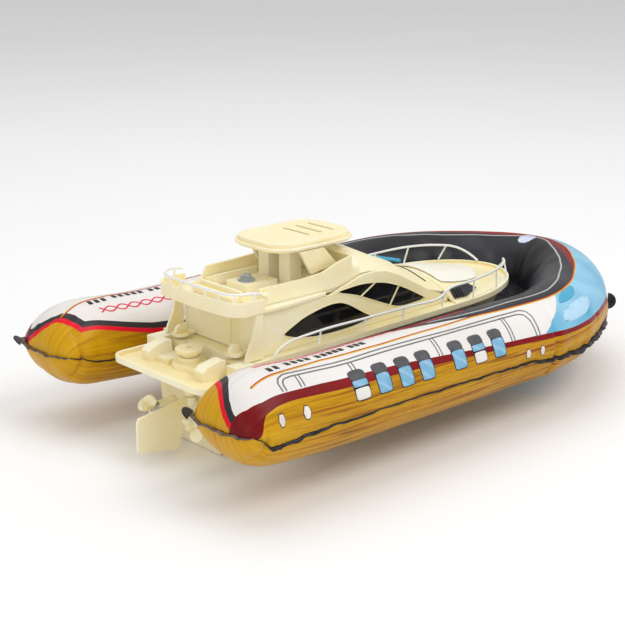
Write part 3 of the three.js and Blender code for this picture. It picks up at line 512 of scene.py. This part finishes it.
class Patches:
    """Many thin closed patches of ink on the float, gathered into one mesh of several materials."""

    def __init__(self):
        self.points, self.faces, self.inks, self.materials = [], [], [], []

    def _ink(self, material):
        if material not in self.materials:
            self.materials.append(material)
        return self.materials.index(material)

    def sheet(self, u, phi, material, lift=0.18, depth=0.3):
        """A grid of places on the float, closed with walls and a hidden underside."""
        index = self._ink(material)
        rows, columns = u.shape
        base = len(self.points)
        count = rows * columns
        for level in (lift, lift - depth):
            self.points.extend(surface(u, phi, level).reshape(-1, 3))
        def at(i, j, under=0):
            return base + under * count + i * columns + j
        faces = []
        for i in range(rows - 1):
            for j in range(columns - 1):
                quad = [at(i, j), at(i + 1, j), at(i + 1, j + 1), at(i, j + 1)]
                faces.append(quad)
                faces.append([q + count for q in reversed(quad)])
        border = [(0, j) for j in range(columns)] + [(i, columns - 1) for i in range(1, rows)]
        border += [(rows - 1, j) for j in range(columns - 2, -1, -1)]
        border += [(i, 0) for i in range(rows - 2, 0, -1)]
        for (i, j), (k, l) in zip(border, border[1:] + border[:1]):
            faces.append([at(i, j), at(k, l), at(k, l, 1), at(i, j, 1)][::-1])
        self.faces += faces
        self.inks += [index] * len(faces)

    def rounded(self, u0, u1, phi0, phi1, material, corner=0.25, lift=0.18, slant=0.0, rings=7, steps=9):
        """A patch between two places along and two angles round the float, with rounded corners."""
        a, b = np.meshgrid(np.linspace(-1, 1, steps), np.linspace(-1, 1, rings), indexing="ij")
        pull = 1 - corner * 0.42 * (np.abs(a * b) ** 3)
        a, b = a * pull, b * pull
        u = (u0 + u1) / 2 + a * (u1 - u0) / 2 + slant * b
        phi = (phi0 + phi1) / 2 + b * (phi1 - phi0) / 2
        self.sheet(u, phi, material, lift)

    def line(self, places, width, material, lift=0.2, step=2.5, shift=0.0):
        """A stripe along (u, phi) places; `shift` moves it sideways by millimetres."""
        places = np.array(places, float)
        flat = np.c_[places[:, 0], places[:, 1] * ROUND]
        run = np.r_[0, np.cumsum(np.linalg.norm(np.diff(flat, axis=0), axis=1))]
        count = max(3, int(run[-1] / step) + 1)
        even = np.linspace(0, run[-1], count)
        x, y = (np.interp(even, run, flat[:, i]) for i in (0, 1))
        dx, dy = np.gradient(x), np.gradient(y)
        size = np.hypot(dx, dy)
        nx, ny = -dy / size, dx / size
        across = np.array([-0.5, 0.0, 0.5]) * width + shift
        u = x[:, None] + nx[:, None] * across
        phi = (y[:, None] + ny[:, None] * across) / ROUND
        if nx[0] * 0 + (flat[-1, 0] - flat[0, 0]) < 0:
            u, phi = u[::-1], phi[::-1]
        self.sheet(u, phi, material, lift)

    def piece(self, name):
        made = new_piece(name, self.points, self.faces, self.materials)
        made.data.polygons.foreach_set("material_index", np.array(self.inks, np.int32))
        outward = bmesh.new()
        outward.from_mesh(made.data)
        bmesh.ops.recalc_face_normals(outward, faces=outward.faces)
        outward.to_mesh(made.data)
        outward.free()
        return made


def build_float():
    """The inflated tube: one closed skin with seam puckers, creases and pleated sealed ends."""
    step, sectors = 2.1, 120
    u = np.arange(-LENGTH, LENGTH, step)
    u = np.unique(np.r_[u, LENGTH, [c[0] for c in CREASES], [-LENGTH + 0.5, LENGTH - 0.5, -LENGTH + 1.2,
                                                              LENGTH - 1.2]])
    phi = np.linspace(-90, 270, sectors, endpoint=False)
    grid_u, grid_phi = np.meshgrid(u, phi, indexing="ij")
    points = surface(grid_u, grid_phi)
    rows = len(u)
    vertices = list(points.reshape(-1, 3))
    faces = []
    for i in range(rows - 1):
        for j in range(sectors):
            k = (j + 1) % sectors
            faces.append([i * sectors + j, i * sectors + k, (i + 1) * sectors + k, (i + 1) * sectors + j])
    for i, turned in ((0, False), (rows - 1, True)):
        ring = [i * sectors + j for j in range(sectors)]
        half = sectors // 2
        start = sectors // 4
        order = [ring[(start + k) % sectors] for k in range(sectors)]
        for k in range(half):
            a, b = order[k], order[(k + 1) % sectors]
            c, d = order[-(k + 1) % sectors], order[-k % sectors]
            face = [a, b, c, d] if k else [a, b, c]
            if k == half - 1:
                face = [a, b, d]
            faces.append(face if turned else face[::-1])
    piece = new_piece("float_film", vertices, faces, PRINT)
    for name, values in zones(grid_u, grid_phi).items():
        attribute = piece.data.attributes.new(name, "FLOAT", "POINT")
        attribute.data.foreach_set("value", values.astype(np.float32).ravel())
    tidy = bmesh.new()
    tidy.from_mesh(piece.data)
    bmesh.ops.recalc_face_normals(tidy, faces=tidy.faces)
    tidy.to_mesh(piece.data)
    tidy.free()
    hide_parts("inflatable_hull")
    return piece


SEAM_STOP = 1.5  # how far short of the sealed end the long seams stop
TAB_ROOT = 5.5  # how far the end seam runs out to carry a tab


def build_seam():
    """The welded edge of the film: a thin wavy fin round the outside and across the ends."""
    points, faces, index = [], [], []

    def fin(u, centre, reach, drop, material):
        """A strip of film standing `reach` millimetres out, flopped over by `drop` degrees."""
        base = len(points)
        for i, (a, c) in enumerate(zip(u, centre)):
            sway = float(wave(a / 7.0, 0.8)) * (0.5 + 0.28 * drop[i])
            stand = reach[i] * (1 + 0.16 * float(wave(a / 5.1, 1.2)))
            root = surface(a, c, -1.2)
            tip = surface(a, c + sway - drop[i], stand)
            for p, dz in ((root, 1), (tip, 1), (tip, -1), (root, -1)):
                points.append((p[0], p[1], p[2] + dz * 0.3 * MM))
        for i in range(len(u) - 1):
            for j in range(4):
                k = (j + 1) % 4
                a, b = base + i * 4, base + (i + 1) * 4
                faces.append([a + j, a + k, b + k, b + j])
                index.append(material)
        for i in (0, len(u) - 1):
            faces.append([base + i * 4 + j for j in range(4)])
            index.append(material)

    around = np.arange(-LENGTH + SEAM_STOP, LENGTH - SEAM_STOP, 1.4)
    reach = table(around, [(0, 4.2), (150, 4.0), (215, 3.2), (290, 1.5), (420, 1.1), (480, 1.3),
                           (530, 2.0), (553, 2.4), (566, 1.6)])
    drop = table(around, [(0, 5), (150, 5), (215, 4), (290, 1.5), (420, 1.2), (480, 2.4),
                          (520, 4.5), (553, 3.0), (566, 0)])
    fin(around, table(around, SEAM), reach, drop, 0)
    for side in (-1, 1):
        stop = (LENGTH - SEAM_STOP) * side
        run = np.arange(0, 420, 1.6)
        inside = stop - side * run
        fin(inside, table(inside, INNER_SEAM), np.full(len(run), 1.3), np.full(len(run), -0.8), 0)
        across = np.linspace(8, 172, 90)
        base = len(points)
        for angle in across:
            c = math.cos(math.radians(angle))
            closeness = abs(c) ** 4
            middle = surface(side * LENGTH, 90, 0)
            tabbed = max(0.0, c) if side > 0 else max(0.0, -c)
            y = middle[1] + side * c * (END_HALF + 0.6 + TAB_ROOT * tabbed ** 8) * MM
            x = middle[0] + (END_BEND * closeness - 3.4 * (1 - 0.4 * closeness)) * MM
            z = (RADIUS + KEEL + float(rocker(LENGTH)) + 0.9 * float(wave(angle / 7.0, 0.4))) * MM
            for dx, dz in ((5.0, 0.35), (0.0, 0.3), (0.0, -0.3), (5.0, -0.35)):
                points.append((x + dx * MM, y, z + dz * MM))
        for i in range(len(across) - 1):
            for j in range(4):
                k = (j + 1) % 4
                a, b = base + i * 4, base + (i + 1) * 4
                faces.append([a + j, a + k, b + k, b + j])
                index.append(1)
        for i in (0, len(across) - 1):
            faces.append([base + i * 4 + j for j in range(4)])
            index.append(1)
    piece = new_piece("float_seam", points, faces, [SEAM_BLACK, SEAM_GREY])
    piece.data.polygons.foreach_set("material_index", np.array(index, np.int32))
    tidy = bmesh.new()
    tidy.from_mesh(piece.data)
    bmesh.ops.recalc_face_normals(tidy, faces=tidy.faces)
    tidy.to_mesh(piece.data)
    tidy.free()
    return piece


STRIPE = [(545, 67), (524, 71), (512, 73), (471, 79), (440, 77), (408, 76), (354, 77.5), (299, 78),
          (267, 74.5), (237, 72.5), (206, 72), (182, 72.5), (154, 74.5), (127, 80), (79, 85), (37, 83.5),
          (0, 85.5)]
STRIPE_PORT = [(551, 108), (528, 99), (498, 89), (474, 86.5), (440, 84.5), (400, 81), (354, 78.5),
               (299, 78), (267, 74.5), (237, 72.5), (206, 72), (182, 72.5), (154, 74.5), (127, 80),
               (79, 85), (37, 83.5), (0, 85.5)]
GREY_LINE = [(340, 99), (309, 90), (280, 87), (247, 88), (225, 87), (192, 86), (160, 92), (140, 98),
             (119, 100), (99, 103), (64, 104), (34, 101), (12, 94), (0, 92)]
OUTLINE = [(524, 45), (524.5, 56), (521, 64), (514, 68.5), (475, 69), (446, 68), (412, 69), (378, 68),
           (343, 67), (322, 66.5), (283, 66), (250, 65), (243.5, 61), (241, 51), (241.5, 22)]
INLINE = [(520.5, 45), (520.5, 55), (517, 61), (509, 63), (480, 63.5), (448, 62.5), (404, 63), (358, 62),
          (324, 62), (287, 60.5), (255, 59.5), (248.5, 56), (246, 46), (245.5, 22)]
DIVIDERS = [(503.5, 46), (450, 45), (360, 35), (274.5, 26)]
WINDOWS = [(458.5, 443.5, 14), (434, 420.5, 14), (410, 396.5, 13), (387, 373, 13), (349, 335, 13),
           (324.5, 310.5, 12.5), (300.5, 287, 12.5)]
HALF_DOORS = (0, 5)
SQUARES = [519.5, 512, 499, 491.5, 484.5, 477.5, 467, 460.5, 454.5, 448.5, 442.5, 431.5, 425.5, 419.5]
SQUARE_LINE = [(520, 82), (500, 88), (480, 91), (467, 90), (443, 91), (419, 91)]
SQUARES_PORT = [520, 512.5, 505, 492, 485, 477.5, 470.5, 463.5, 452, 445, 430, 423]
SQUARE_LINE_PORT = [(520, 104), (504, 100), (491, 95.5), (463, 94), (445, 94), (420, 93)]
BOLTS = [(536, 14), (509, 16), (259, 3.5), (241, 2.5)]


def build_print():
    """The inked details: pinstripes, panel outline, side windows, small ports and gleams."""
    for side, label in ((-1, "starboard"), (1, "port")):
        trim = Patches()
        stripe = STRIPE if side < 0 else STRIPE_PORT
        places = [(side * u, phi) for u, phi in stripe]
        trim.line([(u, phi + 0.85) for u, phi in places], 1.0, INK_RED, 0.24)
        trim.line([(u, phi - 0.75) for u, phi in places], 1.0, INK_YELLOW, 0.24)
        trim.line([(side * u, phi) for u, phi in GREY_LINE], 1.7, INK_LINE, 0.2)
        for path, width in ((OUTLINE, 1.3), (INLINE, 1.3)):
            trim.line([(side * u, phi) for u, phi in path], width, INK_GREY, 0.16)
        for place, foot in DIVIDERS:
            for shift in (-1.8, 1.8):
                trim.line([(side * (place + shift), 62), (side * (place + shift + 0.6), foot)],
                          1.15, INK_GREY, 0.15)
        ports, line = (SQUARES, SQUARE_LINE) if side < 0 else (SQUARES_PORT, SQUARE_LINE_PORT)
        for place in ports:
            middle = float(table(place, line))
            trim.rounded(side * (place - 2.2), side * (place + 2.2), middle - 4.6, middle + 4.6,
                         INK_BLACK, 0.1)
        trim.piece("print_trim_" + label)

        glass = Patches()
        for i, (aft, fore, foot) in enumerate(WINDOWS):
            near, far = side * (aft + 0.8), side * (fore - 0.8)
            head = foot + 37
            split = foot + 23.5
            glass.rounded(near, far, foot - 1.2, split + 3, INK_BLACK, 0.22, 0.14)
            glass.rounded(near, far, split - 0.5, head, INK_AWNING, 0.5, 0.2, slant=side * 0.4)
            near, far = side * aft, side * fore
            if i in HALF_DOORS:
                glass.rounded(near, far, split - 8, split, INK_PANE, 0.1, 0.26)
                glass.rounded(near, far, foot, split - 9.6, INK_WHITE, 0.25, 0.26)
            else:
                glass.rounded(near, far, foot, split, INK_PANE, 0.18, 0.26)
        glass.piece("print_windows_" + label)

        gleam = Patches()
        gleam.rounded(side * 206, side * 163, 26, 49, INK_GLEAM, 0.9, 0.1, slant=side * -5, rings=9, steps=15)
        gleam.rounded(side * 197, side * 170, 54, 71, INK_DEEP, 0.6, 0.12, slant=side * -7, rings=9, steps=13)
        gleam.piece("print_gleams_" + label)

        braid = Patches()
        first, last, middle, tall, pitch = (
            (526, 290, 101, 3.0, 11.0) if side < 0 else (517, 420, 122, 4.6, 12.5))
        run = np.arange(last, first, 1.1)
        centre = middle + (7.0 if side < 0 else -3.0) * (first - run) / (first - last)
        for turn in (-1, 1):
            swing = turn * tall * np.sin(run / pitch * math.pi)
            braid.line(list(zip(side * run, centre + swing)), 0.9 if side < 0 else 1.2, INK_PINK,
                       0.22 + 0.04 * turn, step=1.0)
        braid.piece("print_braid_" + label)

    studs_and_highlight = Patches()
    for side in (-1, 1):
        for u, phi in BOLTS:
            tall = 5.6 if u > 400 else 4.4
            a = np.linspace(0, 2 * math.pi, 25)
            r = np.linspace(0.02, 1, 6)
            grid_r, grid_a = np.meshgrid(r, a, indexing="ij")
            facet = 1 / np.cos((grid_a % (math.pi / 3)) - math.pi / 6) * 0.9
            for size, material, lift in ((1.16, INK_BLACK, 0.2), (1.0, PEARL, 0.34)):
                studs_and_highlight.sheet(side * u + 0.62 * tall * size * grid_r * facet * np.cos(grid_a),
                            phi + tall * size * 1.45 * grid_r * facet * np.sin(grid_a), material, lift)
    # painted highlight: the soft gloss on the dark film at the tip of the bow
    studs_and_highlight.rounded(3, 20, 88, 117, INK_BOW_HIGHLIGHT, 0.7, 0.2, slant=1.5, rings=9, steps=9)
    studs_and_highlight.line([(194, 133), (178, 141), (160, 149)], 4.2, INK_DEEP, 0.2)
    studs_and_highlight.rounded(-21, -9, 188, 198, INK_DEEP, 0.8, 0.2)
    studs_and_highlight.piece("print_studs_and_highlight")


build_float()
build_seam()
build_print()


# ------------------------------------------------------------------ the CAD nodes' finish
def smooth_group():
    """Joins the split corners of a CAD mesh and shades it smooth, before its edges are rounded."""
    group = bpy.data.node_groups.new("join_and_smooth", "GeometryNodeTree")
    group.interface.new_socket("Geometry", in_out="INPUT", socket_type="NodeSocketGeometry")
    group.interface.new_socket("Geometry", in_out="OUTPUT", socket_type="NodeSocketGeometry")
    first = group.nodes.new("NodeGroupInput")
    merge = group.nodes.new("GeometryNodeMergeByDistance")
    merge.inputs["Distance"].default_value = 2e-6
    smooth = group.nodes.new("GeometryNodeSetShadeSmooth")
    last = group.nodes.new("NodeGroupOutput")
    group.links.new(first.outputs[0], merge.inputs[0])
    group.links.new(merge.outputs[0], smooth.inputs[0])
    group.links.new(smooth.outputs[0], last.inputs[0])
    return group


JOIN = smooth_group()
FINISH = {
    "white": WHITE, "black": GLOSS_BLACK, "dark": DARK, "clear": CLEAR, "blue": BLUE, "steel": STEEL,
    "green": GREEN, "pad": PAD, "film": SEAM_BLACK,
}
SLOT_FINISH = {
    "ivory": "ivory", "white_plastic": "white", "black_plastic": "black", "dark_plastic": "dark",
    "printed_film": "film", "black_film": "film", "clear_plastic": "clear", "blue_plastic": "blue",
    "steel": "steel", "circuit_green": "green",
}
slots = {s["node"]: s["material_slot"] for s in frame["record"]["subparts"]}
THIN_EDGE, THICK_EDGE = 0.18, 0.55  # bevel widths
EDGE_ANGLE = 32  # sharper corners than this are rounded, in degrees
THIN = ("rail", "grille", "tab_", "web", "shaft", "pane", "window", "board", "ring", "dome")
for name, node in frame["nodes"].items():
    finish = SLOT_FINISH[slots[name]]
    if name == "sunpad":
        finish = "pad"
    node.data.materials.clear()
    node.data.materials.append(IVORY if finish == "ivory" else FINISH[finish])
    join = modifier(node, "NODES", "join")
    join.node_group = JOIN
    width = THIN_EDGE if any(word in name for word in THIN) else THICK_EDGE
    modifier(node, "BEVEL", "edges", width=width * MM, segments=2, limit_method="ANGLE",
             angle_limit=math.radians(EDGE_ANGLE), harden_normals=False, use_clamp_overlap=True)
    modifier(node, "WEIGHTED_NORMAL", "normals", keep_sharp=True)


# ------------------------------------------------------------------ small details of the yacht


def tube_along(name, path, radius, material, sides=10, closed=False, body="boat"):
    """A round bead swept along points given in metres."""
    points, faces = [], []
    count = len(path)
    for i, place in enumerate(path):
        before, after = path[max(i - 1, 0)], path[min(i + 1, count - 1)]
        if closed:
            before, after = path[i - 1], path[(i + 1) % count]
        way = (after - before).normalized()
        up = Vector((0, 0, 1)) if abs(way.z) < 0.9 else Vector((1, 0, 0))
        right = way.cross(up).normalized()
        up = right.cross(way)
        for k in range(sides):
            angle = 2 * math.pi * k / sides
            points.append(place + (right * math.cos(angle) + up * math.sin(angle)) * radius * MM)
    for i in range(count if closed else count - 1):
        for k in range(sides):
            a, b = i * sides, ((i + 1) % count) * sides
            faces.append([a + k, a + (k + 1) % sides, b + (k + 1) % sides, b + k])
    if not closed:
        faces.append(list(range(sides)))
        faces.append([(count - 1) * sides + k for k in range(sides)][::-1])
    return new_piece(name, points, faces, material, body=body)


MAIN_WINDOW = [(-151, 70), (-139, 76.5), (-127, 81), (-107, 85), (-92, 85.5), (-80, 82), (-62, 71.5),
               (-50, 64), (-61, 61.6), (-72, 60.2), (-91, 59.6), (-108, 60), (-127, 62), (-141, 65.2)]
UPPER_WINDOW = [(-91, 94), (-76, 96.2), (-60, 96.3), (-45, 94.5), (-32, 91.5), (-16, 85.5), (0, 77.5),
                (15, 68.5), (2, 66.8), (-12, 66.6), (-23, 68.5), (-35, 73), (-52, 80), (-69, 87)]


WINDOW_PLANE = 50.1  # how far out the window beads lie
BEAD_RADIUS = 0.55


def closed_curve(points, per_side=6):
    """A Catmull-Rom curve through the corners."""
    out = []
    count = len(points)
    for i in range(count):
        p = [np.array(points[(i + k - 1) % count], float) for k in range(4)]
        for j in range(per_side):
            t = j / per_side
            out.append(0.5 * (2 * p[1] + (p[2] - p[0]) * t + (2 * p[0] - 5 * p[1] + 4 * p[2] - p[3]) * t * t
                              + (3 * p[1] - p[0] - 3 * p[2] + p[3]) * t ** 3))
    return out


for side, label in ((-1, "starboard"), (1, "port")):
    for window, word in ((MAIN_WINDOW, "main"), (UPPER_WINDOW, "upper")):
        path = [mm(x, side * WINDOW_PLANE, z) for x, z in closed_curve(window)]
        tube_along(f"{word}_window_bead_{label}", path, BEAD_RADIUS, IVORY, 8, closed=True)


def landing(names, start, way):
    """Where a line from start first meets one of the frame's nodes."""
    best = None
    for name in names:
        node = frame["nodes"][name]
        turn = node.matrix_world.inverted()
        hit, place, _, _ = node.ray_cast(turn @ start, (turn.to_3x3() @ way).normalized())
        if hit:
            world = node.matrix_world @ place
            if best is None or (world - start).length < (best - start).length:
                best = world
    return best


ABOVE = 200  # a height clear of the whole boat
# painted shade: a dark bead laid along the groove across the windscreen moulding stands for the shade inside
# it
SLIT_RADIUS = 0.8
SLIT = [(35, 22), (34.5, 12), (33.5, 0), (31.5, -12), (30.5, -24), (32.5, -33)]
slit_path = []
for t in np.linspace(0, len(SLIT) - 1, 26):
    x = float(np.interp(t, range(len(SLIT)), [p[0] for p in SLIT]))
    y = float(np.interp(t, range(len(SLIT)), [p[1] for p in SLIT]))
    place = landing(("cabin_front", "coachroof"), mm(x, y, ABOVE), Vector((0, 0, -1)))
    if place is not None:
        slit_path.append(place)
# painted shade in the windscreen groove
tube_along("windscreen_groove_shade", slit_path, SLIT_RADIUS, DARK, 8)

# ------------------------------------------------------------------ stage, light and camera

def studio():
    floor_material = Nodes("floor")
    place = floor_material.object_place()
    floor_material.link(
        floor_material.mix(floor_material.noise(place, 3.0), colour(246, 246, 246), colour(250, 250, 250)),
        floor_material.shader.inputs["Base Color"])
    floor_material.shader.inputs["Roughness"].default_value = 0.85
    mesh = bpy.data.meshes.new("floor")
    half = 9.0
    mesh.from_pydata([(-half, -half, 0), (half, -half, 0), (half, half, 0), (-half, half, 0)], [],
                     [(0, 1, 2, 3)])
    floor = bpy.data.objects.new("floor", mesh)
    mesh.materials.append(floor_material.material)
    floor.location.z = -0.0005
    bpy.context.scene.collection.objects.link(floor)

    def lamp(name, place, target, size, power, tint=(1, 1, 1)):
        data = bpy.data.lights.new(name, "AREA")
        data.shape = "RECTANGLE"
        data.size, data.size_y = size
        data.energy = power
        data.color = tint
        made = bpy.data.objects.new(name, data)
        made.location = place
        way = Vector(target) - Vector(place)
        made.rotation_mode = "QUATERNION"
        made.rotation_quaternion = way.to_track_quat("-Z", "Y")
        bpy.context.scene.collection.objects.link(made)

    lamp("key", (0.5, -1.5, 2.0), (0, 0, 0.05), (1.6, 1.2), 19)
    lamp("fill", (-1.9, -1.0, 0.9), (-0.1, 0, 0.05), (1.6, 1.2), 6)
    lamp("top", (0.1, 0.6, 2.2), (0, 0, 0), (2.0, 2.0), 16)
    world = bpy.data.worlds.new("studio")
    world.use_nodes = True
    world.node_tree.nodes["Background"].inputs[0].default_value = (1, 1, 1, 1)
    world.node_tree.nodes["Background"].inputs[1].default_value = 0.62
    bpy.context.scene.world = world
    bpy.context.scene.view_settings.view_transform = "Standard"


def camera():
    data = bpy.data.cameras.new("camera")
    made = bpy.data.objects.new("camera", data)
    bpy.context.scene.collection.objects.link(made)
    azimuth, elevation = math.radians(-41.92), math.radians(16.64)
    back = Vector((math.sin(azimuth) * math.cos(elevation), -math.cos(azimuth) * math.cos(elevation),
                   math.sin(elevation)))
    made.location = (-0.8709, -0.8864, 0.4512)
    made.rotation_mode = "QUATERNION"
    made.rotation_quaternion = (-back).to_track_quat("-Z", "Y")
    data.sensor_width = 36.0
    data.lens = 1423.4 / 625 * 36.0
    data.shift_y = -0.0107
    data.clip_start, data.clip_end = 0.05, 60.0
    bpy.context.scene.camera = made


studio()
camera()
